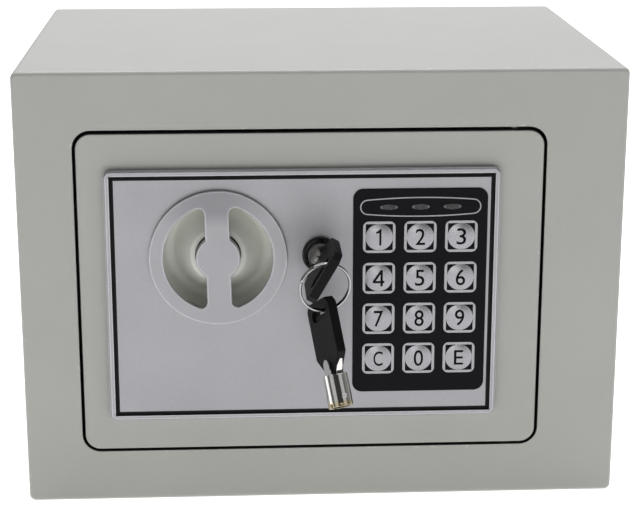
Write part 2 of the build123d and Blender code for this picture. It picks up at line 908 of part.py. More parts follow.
def make_key_tube():
    """Steel tube with its lug, milled tip and two tongues that clasp the bow."""
    top = key_slot_from_end - key_bow_length - key_taper
    tip = top - key_tube_length
    tube = upright(0, 0, (tip, top), key_tube_radius)
    tube -= upright(0, 0, (tip - 1, top - key_tube_web), key_tube_bore)
    for side in (-1, 1):
        near = side * key_bow_thickness / 2
        plane = Plane(origin=(0, max(near, near + side * tongue_thickness), top), x_dir=(1, 0, 0),
                      z_dir=(0, -1, 0))
        body = Rectangle(tongue_width, tongue_length - tongue_width / 2, align=(Align.CENTER, Align.MIN))
        body += Pos(0, tongue_length - tongue_width / 2) * Circle(tongue_width / 2)
        tube += extrude(plane * body, tongue_thickness)
    for bit in range(key_bits):
        turn = 360 * (bit + 0.5) / key_bits + 90 - index_angle
        cut = 0.5 + 0.5 * (bit * 2 % 3)
        tube -= Rot(0, 0, turn) * Pos(key_tube_radius, 0, tip) * Cylinder(bit_radius, 2 * cut)
    lug = Pos(key_tube_radius + key_lug_seat, 0, tip + key_lug_from_tip) * Box(key_lug_size, key_lug, key_lug_size)
    return tube + (lug - upright(0, 0, (tip - 1, top), (key_tube_bore + key_tube_radius) / 2))


def lug_depths():
    """Depths of the lug's two faces with the key inserted."""
    centre = bezel_front + key_inserted - key_lug_from_tip
    return centre - key_lug_size / 2, centre + key_lug_size / 2


def inserted_key_place():
    """Place of the key in the lock, turned to the index position."""
    bow_end = bezel_front + key_inserted - key_tube_length
    slot_depth = bow_end - key_taper - key_bow_length + key_slot_from_end
    return Pos(lock_x, front_y + slot_depth, lock_z) * Rot(90, 0, 0) * Rot(0, 0, 90 - index_angle)


def ring_radius():
    """Radius of the ring to the middle of its wire."""
    return ring_outer_radius - ring_wire


def ring_top():
    """Point where the ring's wire passes through the slot of the inserted key's bow."""
    return (inserted_key_place() * Pos(ring_hole_offset, 0, 0)).position


def round_ring(angle):
    """Point on the ring's wire, in the ring's own frame, at an angle from its right side."""
    turn = math.radians(angle)
    return Pos(ring_radius() * math.cos(turn), 0, ring_radius() * math.sin(turn))


def ring_place():
    """Place of the ring, threaded through the bow's slot, its left side and top nearer."""
    turn = Rot(0, 0, ring_yaw) * Rot(ring_tilt, 0, 0)
    return Pos(*ring_top()) * turn * round_ring(ring_top_angle).inverse()


def make_split_ring():
    """Ring of two turns of wire lying side by side, with the slits where the wire ends."""
    section = Rectangle(ring_wire, ring_pitch)
    for side in (-1, 1):
        section += Pos(0, side * ring_pitch / 2) * Circle(ring_wire)
    ring = revolve(Plane.XY * Pos(ring_radius(), 0) * section, Axis.Y)
    for side, turn in ((-1, 200), (1, 225)):
        slit = Pos(ring_radius(), side * ring_pitch, 0) * Box(4 * ring_wire, ring_pitch, ring_slit)
        ring -= Rot(0, turn, 0) * slit
    return ring_place() * ring


def ring_bottom():
    """Point of the ring's wire that carries the spare key."""
    return (ring_place() * round_ring(ring_bottom_angle)).position


def spare_key_place():
    """Place of the spare key, hanging tilted in its own plane by the near end of its slot."""
    lean = math.radians(spare_tilt)
    rise = key_slot_width / 2 - ring_wire - ring_pitch / 2 * math.sin(lean) - wire_gap
    along = (key_slot_length - key_slot_width) / 2 - wire_gap
    turn = Rot(0, 0, spare_turn) * Rot(0, -spare_tilt, 0)
    return Pos(*ring_bottom()) * turn * Pos(-along, 0, -rise)


# Knob, crank and bolts


def make_knob():
    """Flat ring with a bar and a hub across it, ribbed behind the bar."""
    opening = Circle(knob_opening_radius) - Rectangle(knob_bar, 3 * knob_radius) - Circle(knob_hub_radius)
    tips = [v for v in opening.vertices() if math.hypot(v.X, v.Y) > knob_opening_radius - 1]
    opening = Rot(0, 0, knob_lean) * fillet(tips, opening_fillet)
    knob = slab(Pos(knob_x, knob_z) * (Circle(knob_radius) - opening), knob_front, knob_back)
    knob = chamfer(front_edges(knob, knob_front), knob_edge)
    rib = Rectangle(knob_bar - 2, 2 * knob_opening_radius) + Circle(knob_hub_radius)
    knob += slab(Pos(knob_x, knob_z) * Rot(0, 0, knob_lean) * rib, knob_back, knob_back + knob_rib)
    knob += round_bar(knob_x, knob_z, knob_neck_radius, knob_back,
                      dish_boss_drop + dish_sheet - knob_neck_gap)
    return knob - round_bar(knob_x, knob_z, spindle_radius, knob_front + knob_seat, dish_depth)


def make_knob_spindle():
    """Round spindle with a square end for the crank."""
    spindle = round_bar(knob_x, knob_z, spindle_radius, knob_front + knob_seat, crank_depth)
    spindle += slab(Pos(knob_x, knob_z) * Rectangle(square_size, square_size), crank_depth, crank_back)
    return spindle - round_bar(knob_x, knob_z, spindle_bore, crank_depth - spindle_bore_depth, crank_back)


def make_spindle_bush():
    """Nylon bush in the hollow behind the dish's boss."""
    near = dish_boss_drop + dish_sheet
    bush_radius = dish_boss_radius - dish_sheet / 2 - bush_gap
    return ring_bar(knob_x, knob_z, bush_radius, spindle_radius + spindle_fit, near, near + bush_length)


def crank_pin_place():
    """Centre of the crank pin with the bolts drawn back."""
    half = math.radians(knob_turn / 2)
    return knob_x + crank_throw * math.sin(half), knob_z + crank_throw * math.cos(half)


def make_crank():
    """Crank arm on the spindle's square end, with its pin riveted in."""
    x, z = crank_pin_place()
    turn = -knob_turn / 2
    web = Pos(0, crank_throw / 2) * Rectangle(2 * (crank_pin_radius + crank_web_margin), crank_throw)
    arm = Circle(crank_hub_radius) + web + Pos(0, crank_throw) * Circle(crank_pin_radius + crank_web_margin)
    arm = Rot(0, 0, turn) * arm - Rectangle(square_size, square_size)
    crank = slab(Pos(knob_x, knob_z) * arm, crank_depth, crank_back)
    return crank + round_bar(x, z, crank_pin_radius, crank_back, carrier_back + crank_pin_end)


def make_crank_screw():
    """Screw that holds the crank on the spindle."""
    head = slotted_head(knob_x, knob_z, crank_screw_head, crank_back)
    return head + round_bar(knob_x, knob_z, spindle_bore, crank_depth - spindle_bore_depth, crank_back)


def stud_places():
    """Centres of the three guide studs: two low ones, and one under the case's top, clear of the dish."""
    low = bolt_z[0] + stud_low
    high = case_z[1] - stud_from_top
    reach = dish_flange + stud_radius + stud_dish_gap
    aside = math.sqrt(max(0.0, reach ** 2 - (high - knob_z) ** 2))
    return [(knob_x - stud_left, low), (knob_x + stud_right, low), (knob_x - aside, high)]


def make_bolt_carrier():
    """Sliding plate with a bent flange for the bolts, slots for studs and crank, and the block notch."""
    x, z = crank_pin_place()
    low = stud_places()[0][1]
    high = stud_places()[2][1]
    right = knob_x + carrier_right
    skirt = bolt_z[0] - carrier_skirt
    lower = between((bolt_root_x, knob_x + carrier_foot), (skirt, low + stud_low))
    upper = between((bolt_root_x, right), (arm_top - arm_height, high + carrier_stud_edge))
    column = between((bolt_root_x, bolt_root_x + carrier_column), (skirt, high + carrier_stud_edge))
    arm = between((right - carrier_arm_root, lock_x + bolt_throw + carrier_arm_end),
                  (arm_top - arm_height, arm_top))
    plate = lower + upper + column + arm
    for stud_x, stud_z in stud_places():
        length = bolt_throw + 2 * (stud_radius + stud_end_gap)
        slot = SlotOverall(length, 2 * (stud_radius + stud_fit))
        plate -= Pos(stud_x - stud_radius - stud_end_gap + length / 2, stud_z) * slot
    half = crank_pin_radius + slot_side_gap
    rise = crank_throw * (1 - math.cos(math.radians(knob_turn / 2)))
    slot = Rot(0, 0, 90) * SlotOverall(rise + 2 * half, 2 * half)
    plate -= Pos(x, z + rise / 2) * slot
    notch_x = lock_x + bolt_throw
    half = plunger_radius + notch_fit
    plate -= between((notch_x - half, notch_x + half), (arm_top - cam_rise, arm_top + 1))
    carrier = slab(plate, carrier_depth, carrier_back)
    flange_x = (bolt_root_x, bolt_root_x + carrier_thickness)
    flange_z = (skirt, bolt_z[1] + carrier_top)
    flange = deep_block(flange_x, door_thickness + carrier_door_gap, carrier_back, flange_z)
    around_dish = dish_depth + dish_sheet + carrier_dish_gap
    carrier += flange - round_bar(knob_x, knob_z, dish_flange + carrier_dish_gap, 0, around_dish)
    for bolt in bolt_z:
        hole = Cylinder(screw_radius + stud_fit, 4 * carrier_thickness)
        carrier -= Pos(bolt_root_x, front_y + bolt_axis_depth, bolt) * Rot(0, 90, 0) * hole
    return carrier


def make_locking_bolts():
    """Two round bolts with chamfered tips, tapped for their screws."""
    bolts = []
    for z in bolt_z:
        bar = Cylinder(bolt_radius, bolt_length)
        bar = chamfer(bar.edges().sort_by(Axis.Z)[0], bolt_chamfer)
        bar -= Pos(0, 0, (bolt_length - bolt_bore) / 2) * Cylinder(screw_radius, bolt_bore)
        bolts.append(Pos((bolt_tip_x + bolt_root_x) / 2, front_y + bolt_axis_depth, z) * Rot(0, 90, 0) * bar)
    return Compound(bolts)


def make_bolt_screws():
    """Two screws through the carrier's flange into the bolts."""
    screws = []
    for z in bolt_z:
        place = Pos(bolt_root_x, front_y + bolt_axis_depth, z) * Rot(0, 90, 0)
        middle = (carrier_thickness - screw_bite) / 2
        shank = Pos(0, 0, middle) * Cylinder(screw_radius, carrier_thickness + screw_bite)
        seat = carrier_thickness + screw_head_height / 2
        head = Pos(0, 0, seat) * Cylinder(screw_head_radius, screw_head_height)
        screws.append(place * (shank + head))
    return Compound(screws)


def make_guide_studs():
    """Three shouldered studs from the door plate that guide the carrier."""
    studs = []
    for x, z in stud_places():
        end = carrier_back + stud_shoulder
        stud = round_bar(x, z, stud_radius, door_thickness, end)
        studs.append(stud + round_bar(x, z, stud_radius - stud_neck, end, end + stud_tail))
    return Compound(studs)


def make_stud_clips():
    """Retaining clips on the ends of the studs."""
    clips = []
    for x, z in stud_places():
        washer = Circle(stud_radius + clip_rim) - Circle(stud_radius - stud_neck)
        washer -= Pos(0, -stud_radius - clip_rim / 2) * Rectangle(clip_mouth, 2 * (clip_rim + stud_neck))
        near = carrier_back + stud_shoulder
        clips.append(slab(Pos(x, z) * washer, near, near + clip_thickness))
    return Compound(clips)


# Solenoid and plunger


def make_plunger():
    """Blocking plunger with a collar for its spring and the foot pin that rides on the cam."""
    y = front_y + plunger_depth
    plunger = upright(lock_x, y, (plunger_z, plunger_z + plunger_length), plunger_radius)
    plunger += upright(lock_x, y, (collar_z, collar_z + collar_thickness), plunger_radius + collar_reach)
    return plunger + round_bar(lock_x, foot_z, foot_radius, cam_front() + cam_gap, plunger_depth)


def make_plunger_spring():
    """Return spring between the plunger's collar and the solenoid frame."""
    y = front_y + plunger_depth
    z = (collar_z + collar_thickness, solenoid_bottom)
    outside = upright(lock_x, y, z, plunger_radius + spring_outside)
    return outside - upright(lock_x, y, z, plunger_radius + spring_inside)


def make_solenoid_frame():
    """Folded steel frame of the solenoid, fixed under the top wall of the case."""
    y = front_y + plunger_depth
    half = coil_radius + solenoid_wall + solenoid_room
    x = (lock_x - half, lock_x + half)
    near = plunger_depth - coil_radius
    far = plunger_depth + coil_radius
    frame = deep_block(x, near, far, (solenoid_bottom, solenoid_bottom + solenoid_wall))
    frame += deep_block(x, near, far, (solenoid_top - solenoid_wall, solenoid_top))
    frame += deep_block((x[0], x[0] + solenoid_wall), near, far, (solenoid_bottom, solenoid_top))
    frame += deep_block((x[1] - solenoid_wall, x[1]), near, far, (solenoid_bottom, solenoid_top))
    bore = (solenoid_bottom - 1, solenoid_bottom + 2 * solenoid_wall)
    return frame - upright(lock_x, y, bore, plunger_radius + frame_bore_gap)


def make_solenoid_coil():
    """Wound coil on its bobbin, hollow for the plunger."""
    y = front_y + plunger_depth
    z = (solenoid_bottom + solenoid_wall, solenoid_top - solenoid_wall)
    return upright(lock_x, y, z, coil_radius) - upright(lock_x, y, z, plunger_radius + coil_bore_gap)


# Battery compartment and reset button


def make_battery_tray():
    """Plastic tub behind the battery window."""
    x, z = battery_box()
    near = cell_depth - cell_radius - tray_wall - cell_gap
    tray = slab(between(x, z, tray_corner), near, case_back)
    inner = between((x[0] + tray_wall, x[1] - tray_wall), (z[0] + tray_wall, z[1] - tray_wall), tray_corner / 2)
    return tray - slab(inner, near + tray_wall, case_back + 1)


def cell_places():
    """Centres of the cells and the way each one points."""
    x, z = battery_box()
    middle = (x[0] + x[1]) / 2
    first = z[0] + tray_wall + cell_pitch / 2
    return [(middle, first + index * cell_pitch, 1 if index % 2 else -1) for index in range(cell_count)]


def make_battery_cells():
    """Round cells lying side by side, each with its end cap."""
    cells = []
    for x, z, way in cell_places():
        cap = Pos(0, 0, (cell_length + cell_cap_height) / 2) * Cylinder(cell_cap_radius, cell_cap_height)
        cell = Cylinder(cell_radius, cell_length) + cap
        place = Pos(x - way * cell_cap_height / 2, front_y + cell_depth, z)
        cells.append(place * Rot(0, way * 90, 0) * cell)
    return Compound(cells)


def make_battery_contacts():
    """Sprung plates at both ends of every cell."""
    box = battery_box()[0]
    reach = contact_room - contact_sheet
    contacts = []
    for _, z, _ in cell_places():
        for side in (-1, 1):
            wall = box[1] - tray_wall if side > 0 else box[0] + tray_wall
            plate = sorted((wall, wall - side * contact_sheet))
            tab = deep_block(plate, cell_depth - contact_depth / 2, cell_depth + contact_depth / 2,
                             (z - contact_height / 2, z + contact_height / 2))
            cone = Cone(contact_base, contact_tip, reach)
            place = Pos(wall - side * (contact_sheet + reach / 2), front_y + cell_depth, z)
            contacts.append(tab + place * Rot(0, -side * 90, 0) * cone)
    return Compound(contacts)


def make_battery_lid():
    """Lid with a locating rib inside and finger ridges outside."""
    x, z = battery_box()
    lid_x = (x[0] - lid_overlap + tray_wall, x[1] + tray_gap)
    lid_z = (z[0] - tray_gap, z[1] + lid_overlap)
    lid = slab(between(lid_x, lid_z, lid_corner), cover_back, cover_back + lid_thickness)
    rib_x = (x[0] + tray_wall + lid_fit, x[1] - tray_wall - lid_fit)
    rib_z = (z[0] + tray_wall + lid_fit, z[1] - tray_wall - lid_fit)
    rib = between(rib_x, rib_z, lid_corner - lid_fit)
    rib -= between((rib_x[0] + lid_rib_wall, rib_x[1] - lid_rib_wall),
                   (rib_z[0] + lid_rib_wall, rib_z[1] - lid_rib_wall), lid_corner - lid_fit - lid_rib_wall)
    lid += slab(rib, cover_back - lid_rib, cover_back)
    start = x[0] + lid_ridge_inset
    face = cover_back + lid_thickness
    for step in range(lid_ridges):
        low = z[1] - lid_ridge_drop + step * lid_ridge_pitch
        line = between((start, start + lid_ridge_length), (low, low + lid_ridge_pitch / 2))
        lid += slab(line, face, face + lid_ridge_height)
    return lid


def reset_place():
    """Centre of the reset button, in the upper right of the case, above the battery tray."""
    return case_x[1] - reset_from_side, case_z[1] - reset_from_top


def switch_back():
    """Depth of the rear face of the reset switch."""
    return board_front() + board_thickness + switch_height


def make_reset_button():
    """Push button through the rear cover, with a collar inside it."""
    x, z = reset_place()
    collar_back = case_back - reset_play
    collar_front = collar_back - reset_collar_height
    button = round_bar(x, z, reset_radius, collar_back, cover_back + reset_proud)
    button = fillet(front_edges(button, cover_back + reset_proud), reset_edge)
    button += round_bar(x, z, reset_radius + reset_collar, collar_front, collar_back)
    return button + round_bar(x, z, reset_stem, switch_back() + reset_travel + reset_play, collar_front)


parts = {
    "cabinet_shell": make_cabinet_shell(),
    "front_frame": make_front_frame(),
    "back_panel": make_back_panel(),
    "hinge_brackets": make_hinge_brackets(),
    "floor_mat": make_floor_mat(),
    "door_plate": make_door_plate(),
    "finger_dish": make_finger_dish(),
    "mechanism_case": make_mechanism_case(),
    "hinge_lugs": make_hinge_lugs(),
    "hinge_pins": make_hinge_pins(),
    "rear_cover": make_rear_cover(),
    "cover_screws": make_cover_screws(),
    "fascia": make_fascia(),
    "fascia_inlay": make_fascia_inlay(),
    "keypad_plate": make_keypad_plate(),
    "led_window": make_led_window(),
    "status_leds": make_status_leds(),
    "key_membrane": make_key_membrane(),
    "control_board": make_control_board(),
    "lock_housing": make_lock_housing(),
    "lock_nut": make_lock_nut(),
    "lock_rotor": make_lock_rotor(),
    "lock_cam": make_lock_cam(),
    "cam_screw": make_cam_screw(),
    "key_tube": inserted_key_place() * make_key_tube(),
    "key_bow": inserted_key_place() * make_key_bow(),
    "split_ring": make_split_ring(),
    "spare_key_tube": spare_key_place() * make_key_tube(),
    "spare_key_bow": spare_key_place() * make_key_bow(),
    "knob": make_knob(),
    "knob_spindle": make_knob_spindle(),
    "spindle_bush": make_spindle_bush(),
    "crank": make_crank(),
    "crank_screw": make_crank_screw(),
    "bolt_carrier": make_bolt_carrier(),
    "locking_bolts": make_locking_bolts(),
    "bolt_screws": make_bolt_screws(),
    "guide_studs": make_guide_studs(),
    "stud_clips": make_stud_clips(),
    "plunger": make_plunger(),
    "plunger_spring": make_plunger_spring(),
    "solenoid_frame": make_solenoid_frame(),
    "solenoid_coil": make_solenoid_coil(),
    "battery_tray": make_battery_tray(),
    "battery_cells": make_battery_cells(),
    "battery_contacts": make_battery_contacts(),
    "battery_lid": make_battery_lid(),
    "reset_button": make_reset_button(),
}
for name, (x, z) in key_centres().items():
    parts["button_" + name] = make_key(x, z)

os.makedirs("parts", exist_ok=True)
for name, shape in parts.items():
    export_step(shape, f"parts/{name}.step")
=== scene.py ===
import math

import bmesh
import bpy
from mathutils import Euler, Matrix, Vector
from mathutils.bvhtree import BVHTree
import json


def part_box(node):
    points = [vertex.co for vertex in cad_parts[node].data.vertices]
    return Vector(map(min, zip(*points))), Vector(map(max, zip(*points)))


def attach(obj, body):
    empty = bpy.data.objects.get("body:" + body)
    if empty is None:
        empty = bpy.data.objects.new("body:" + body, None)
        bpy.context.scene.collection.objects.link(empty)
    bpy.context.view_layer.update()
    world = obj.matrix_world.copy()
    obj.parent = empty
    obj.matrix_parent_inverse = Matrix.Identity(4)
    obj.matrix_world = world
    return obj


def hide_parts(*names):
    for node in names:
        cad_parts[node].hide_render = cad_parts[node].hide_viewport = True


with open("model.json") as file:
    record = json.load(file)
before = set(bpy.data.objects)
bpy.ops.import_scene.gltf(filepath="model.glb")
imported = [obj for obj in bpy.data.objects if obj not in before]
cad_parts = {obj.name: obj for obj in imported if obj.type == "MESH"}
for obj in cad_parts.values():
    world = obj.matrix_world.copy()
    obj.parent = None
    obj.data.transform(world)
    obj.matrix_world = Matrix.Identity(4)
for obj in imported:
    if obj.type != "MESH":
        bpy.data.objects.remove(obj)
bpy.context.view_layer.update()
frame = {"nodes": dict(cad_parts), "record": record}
scene = bpy.context.scene
nodes = frame["nodes"]
record = frame["record"]


# Places read from the frame, in metres

def middle(name):
    """Centre of a CAD node's box."""
    low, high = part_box(name)
    return (Vector(low) + Vector(high)) / 2


def span(name):
    """Size of a CAD node's box."""
    low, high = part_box(name)
    return Vector(high) - Vector(low)


key_names = ["1", "2", "3", "4", "5", "6", "7", "8", "9", "c", "0", "e"]
knob_centre = middle("knob")
lock_centre = middle("lock_housing")
pitch_x = middle("button_2").x - middle("button_1").x
pitch_z = middle("button_1").z - middle("button_4").z
floor_anchor = next(mount for mount in record["mounts"] if mount["name"] == "floor_anchor")
anchor_x = floor_anchor["dims"]["spacing_x_mm"] / 2000
anchor_y = floor_anchor["pos_m"][1]


# Places of the two keys: origin in the bow's slot, X across the bow, Y through it, Z along it

def key_place(slot, *turns):
    """Place of a key from its slot's centre and its turns, each an angle in degrees and an axis."""
    place = Matrix.Translation(slot)
    for angle, axis in turns:
        place = place @ Matrix.Rotation(math.radians(angle), 4, axis)
    return place


lock_key_slot = (-0.00115, -0.1161, 0.10025)
lock_key_turn = 60
spare_key_slot = (-0.001224, -0.11024, 0.083314)
spare_turn, spare_tilt = -68.5, 28
lock_key_place = key_place(lock_key_slot, (-lock_key_turn, "Y"), (90, "X"))
spare_key_place = key_place(spare_key_slot, (spare_turn, "Z"), (-spare_tilt, "Y"))


# Camera, floor and light; lens in millimetres, angles in degrees

focal_length = 97.56
sensor_width = 36.0
camera_place = (-0.03381, -0.71878, 0.27883)
camera_turns = (74.17885, -0.0461, -2.94971)


def make_camera():
    """Camera at the photograph's angle."""
    data = bpy.data.cameras.new("camera")
    data.lens = focal_length
    data.sensor_width = sensor_width
    camera = bpy.data.objects.new("camera", data)
    turns = Euler([math.radians(angle) for angle in camera_turns])
    camera.matrix_world = Matrix.Translation(camera_place) @ turns.to_matrix().to_4x4()
    scene.collection.objects.link(camera)
    scene.camera = camera


def area_light(name, place, target, size, power, colour=(1, 1, 1)):
    """Soft rectangular light aimed at a point."""
    data = bpy.data.lights.new(name, "AREA")
    data.shape = "RECTANGLE"
    data.size, data.size_y = size
    data.energy = power
    data.color = colour
    light = bpy.data.objects.new(name, data)
    aim = Vector(target) - Vector(place)
    turn = aim.to_track_quat("-Z", "Y").to_matrix().to_4x4()
    light.matrix_world = Matrix.Translation(place) @ turn
    scene.collection.objects.link(light)


def make_lights():
    """Three weak lights in front, which bright metal mirrors, and a strong one above and behind."""
    body_centre = (0, 0, 0.1)
    area_light("left", (-1.3, -1.35, 0.9), body_centre, size=(1.2, 1.0), power=1.85)
    area_light("front", (-0.1, -1.8, 0.12), body_centre, size=(0.5, 0.3), power=1.6)
    area_light("right", (1.35, -1.35, 1.2), body_centre, size=(1.2, 1.1), power=1.9)
    cool_white = (1.0, 0.985, 1.04)
    area_light("top", (0.1, 0.5, 1.4), (0, 0.1, 0.1), size=(1.6, 1.2), power=28.5, colour=cool_white)


def make_world():
    """White backdrop for the camera. What the object mirrors is dark in front and paler behind."""
    front_strength, back_strength = 0.05, 0.3
    front_end, back_start = -0.6, 0.1
    world = bpy.data.worlds.new("studio")
    scene.world = world
    world.use_nodes = True
    tree = world.node_tree
    tree.nodes.clear()
    coords = tree.nodes.new("ShaderNodeTexCoord")
    ahead = axes(tree, coords.outputs["Generated"])[1]
    strength = ranged(tree, ahead, front_end, back_start, front_strength, back_strength)
    studio = tree.nodes.new("ShaderNodeBackground")
    tree.links.new(strength, studio.inputs["Strength"])
    backdrop = tree.nodes.new("ShaderNodeBackground")
    backdrop.inputs["Color"].default_value = (1, 1, 1, 1)
    path = tree.nodes.new("ShaderNodeLightPath")
    mix = tree.nodes.new("ShaderNodeMixShader")
    tree.links.new(path.outputs["Is Camera Ray"], mix.inputs[0])
    tree.links.new(studio.outputs[0], mix.inputs[1])
    tree.links.new(backdrop.outputs[0], mix.inputs[2])
    out = tree.nodes.new("ShaderNodeOutputWorld")
    tree.links.new(mix.outputs[0], out.inputs[0])


def make_floor():
    """Plain white floor, a little dimmer for the object than for the camera."""
    half = 4.0
    given_light, seen_light = 0.92, 1.0
    corners = [(-half, -half, 0), (half, -half, 0), (half, half, 0), (-half, half, 0)]
    mesh = bpy.data.meshes.new("floor")
    mesh.from_pydata(corners, [], [(0, 1, 2, 3)])
    floor = bpy.data.objects.new("floor", mesh)
    scene.collection.objects.link(floor)
    mat, tree, shader = material("floor_white")
    shader.inputs["Base Color"].default_value = (0.55, 0.55, 0.55, 1)
    shader.inputs["Emission Color"].default_value = (1, 1, 1, 1)
    feed(tree, shader, "Roughness", 0.9)
    path = tree.nodes.new("ShaderNodeLightPath")
    glow = ranged(tree, path.outputs["Is Camera Ray"], 0, 1, given_light, seen_light)
    feed(tree, shader, "Emission Strength", glow)
    mesh.materials.append(mat)


# Material building blocks

noise_low, noise_high = 0.3, 0.7


def material(name):
    """New material with its tree and its Principled shader."""
    mat = bpy.data.materials.new(name)
    mat.use_nodes = True
    tree = mat.node_tree
    return mat, tree, tree.nodes["Principled BSDF"]


def feed(tree, shader, name, value):
    """Gives one of the shader's inputs a number or a socket's value."""
    if isinstance(value, (int, float)):
        shader.inputs[name].default_value = value
    else:
        tree.links.new(value, shader.inputs[name])


def local(tree, stretch=(1, 1, 1), offset=(0, 0, 0)):
    """Position on the object in metres, stretched per axis after an offset."""
    coords = tree.nodes.new("ShaderNodeTexCoord")
    place = tree.nodes.new("ShaderNodeMapping")
    place.inputs["Scale"].default_value = stretch
    place.inputs["Location"].default_value = [-o * s for o, s in zip(offset, stretch)]
    tree.links.new(coords.outputs["Object"], place.inputs[0])
    return place.outputs[0]


def axes(tree, vector):
    """The X, Y and Z of a vector."""
    split = tree.nodes.new("ShaderNodeSeparateXYZ")
    tree.links.new(vector, split.inputs[0])
    return [split.outputs[axis] for axis in "XYZ"]


def noise(tree, scale, detail=3.0, roughness=0.5, stretch=(1, 1, 1)):
    """Noise value over the position on the object."""
    node = tree.nodes.new("ShaderNodeTexNoise")
    node.inputs["Scale"].default_value = scale
    node.inputs["Detail"].default_value = detail
    node.inputs["Roughness"].default_value = roughness
    tree.links.new(local(tree, stretch), node.inputs["Vector"])
    return node.outputs["Fac"]


def ranged(tree, value, low, high, to_low, to_high):
    """Value mapped from one range to another, clamped."""
    node = tree.nodes.new("ShaderNodeMapRange")
    for name, number in (("From Min", low), ("From Max", high), ("To Min", to_low), ("To Max", to_high)):
        node.inputs[name].default_value = number
    tree.links.new(value, node.inputs["Value"])
    return node.outputs[0]


def varied(tree, grain, low, high):
    """Noise value spread over a range."""
    return ranged(tree, grain, noise_low, noise_high, low, high)


def math_node(tree, operation, *values):
    """One math node; the values are sockets or numbers."""
    node = tree.nodes.new("ShaderNodeMath")
    node.operation = operation
    for index, value in enumerate(values):
        if isinstance(value, (int, float)):
            node.inputs[index].default_value = value
        else:
            tree.links.new(value, node.inputs[index])
    return node.outputs[0]


def below(tree, a, b):
    """One where a is less than b."""
    return math_node(tree, "LESS_THAN", a, b)


def above(tree, a, b):
    """One where a is more than b."""
    return math_node(tree, "GREATER_THAN", a, b)


def both(tree, a, b):
    """One where both masks are one."""
    return math_node(tree, "MULTIPLY", a, b)


def larger(tree, a, b):
    """The larger of two values, which for masks means either."""
    return math_node(tree, "MAXIMUM", a, b)


def unsigned(tree, value):
    """The value without its sign."""
    return math_node(tree, "ABSOLUTE", value)


def radius(tree, a, b):
    """Distance from an axis, from the two distances across it."""
    squares = [math_node(tree, "MULTIPLY", value, value) for value in (a, b)]
    return math_node(tree, "SQRT", math_node(tree, "ADD", *squares))


def from_row(tree, value, centre, pitch):
    """Distance from the nearest of a row of centres."""
    moved = math_node(tree, "SUBTRACT", value, centre)
    return math_node(tree, "WRAP", moved, pitch / 2, -pitch / 2)


def mixed(tree, factor, a, b):
    """Colour between a and b; each is a colour or a socket."""
    node = tree.nodes.new("ShaderNodeMix")
    node.data_type = "RGBA"
    tree.links.new(factor, node.inputs["Factor"])
    for socket, value in ((node.inputs[6], a), (node.inputs[7], b)):
        if isinstance(value, (tuple, list)):
            socket.default_value = (*value[:3], 1)
        else:
            tree.links.new(value, socket)
    return node.outputs[2]


def bump(tree, shader, height, distance, before=None):
    """Bump from a height, over an earlier bump if there is one."""
    node = tree.nodes.new("ShaderNodeBump")
    node.inputs["Distance"].default_value = distance
    tree.links.new(height, node.inputs["Height"])
    if before is not None:
        tree.links.new(before, node.inputs["Normal"])
    tree.links.new(node.outputs[0], shader.inputs["Normal"])
    return node.outputs[0]


def rounded_normal(tree, reach):
    """Normal that turns softly over the sharp edges."""
    node = tree.nodes.new("ShaderNodeBevel")
    node.samples = 4
    node.inputs["Radius"].default_value = reach
    return node.outputs[0]


def soft_edges(tree, shader, reach):
    """Rounded look on sharp edges."""
    normal = rounded_normal(tree, reach)
    tree.links.new(normal, shader.inputs["Normal"])
    return normal


def edge_mask(tree, reach):
    """One along the sharp edges, nought on flat faces."""
    edge_match, flat_match = 0.88, 0.985
    flat = tree.nodes.new("ShaderNodeNewGeometry")
    match = tree.nodes.new("ShaderNodeVectorMath")
    match.operation = "DOT_PRODUCT"
    tree.links.new(rounded_normal(tree, reach), match.inputs[0])
    tree.links.new(flat.outputs["Normal"], match.inputs[1])
    return ranged(tree, match.outputs["Value"], edge_match, flat_match, 1, 0)


def shade(colour, factor):
    """Colour made lighter or darker."""
    return tuple(min(1.0, channel * factor) for channel in colour[:3])


# Powder coat

def gap_painted_shade(tree):
    """One on the faces that line the gap round the door, where the coat is darkened: painted shade standing
    in for the shadow in the gap.
    """
    inward, outward, face_depth = 0.003, 0.0016, 0.00015
    x, y, z = axes(tree, local(tree, offset=middle("door_plate")))
    half = span("door_plate") / 2
    mask = below(tree, unsigned(tree, y), half.y - face_depth)
    near_border = []
    for side, limit in ((x, half.x), (z, half.z)):
        reach = unsigned(tree, side)
        mask = both(tree, mask, below(tree, reach, limit + outward))
        near_border.append(above(tree, reach, limit - inward))
    return both(tree, mask, larger(tree, *near_border))


def dish_painted_light(tree):
    """One inside the finger dish, where the coat is made paler: painted light standing in for light reaching
    into the dish.
    """
    dish_radius, dish_back = 0.0228, 0.0155
    x, y, z = axes(tree, local(tree, offset=knob_centre))
    return both(tree, below(tree, y, dish_back), below(tree, radius(tree, x, z), dish_radius))


def chips(tree):
    """One on small specks along the edges, where the coat is rubbed."""
    rubbed_width, speck_limit = 0.0022, 0.66
    specks = above(tree, noise(tree, scale=420, detail=2), speck_limit)
    return both(tree, specks, edge_mask(tree, rubbed_width))


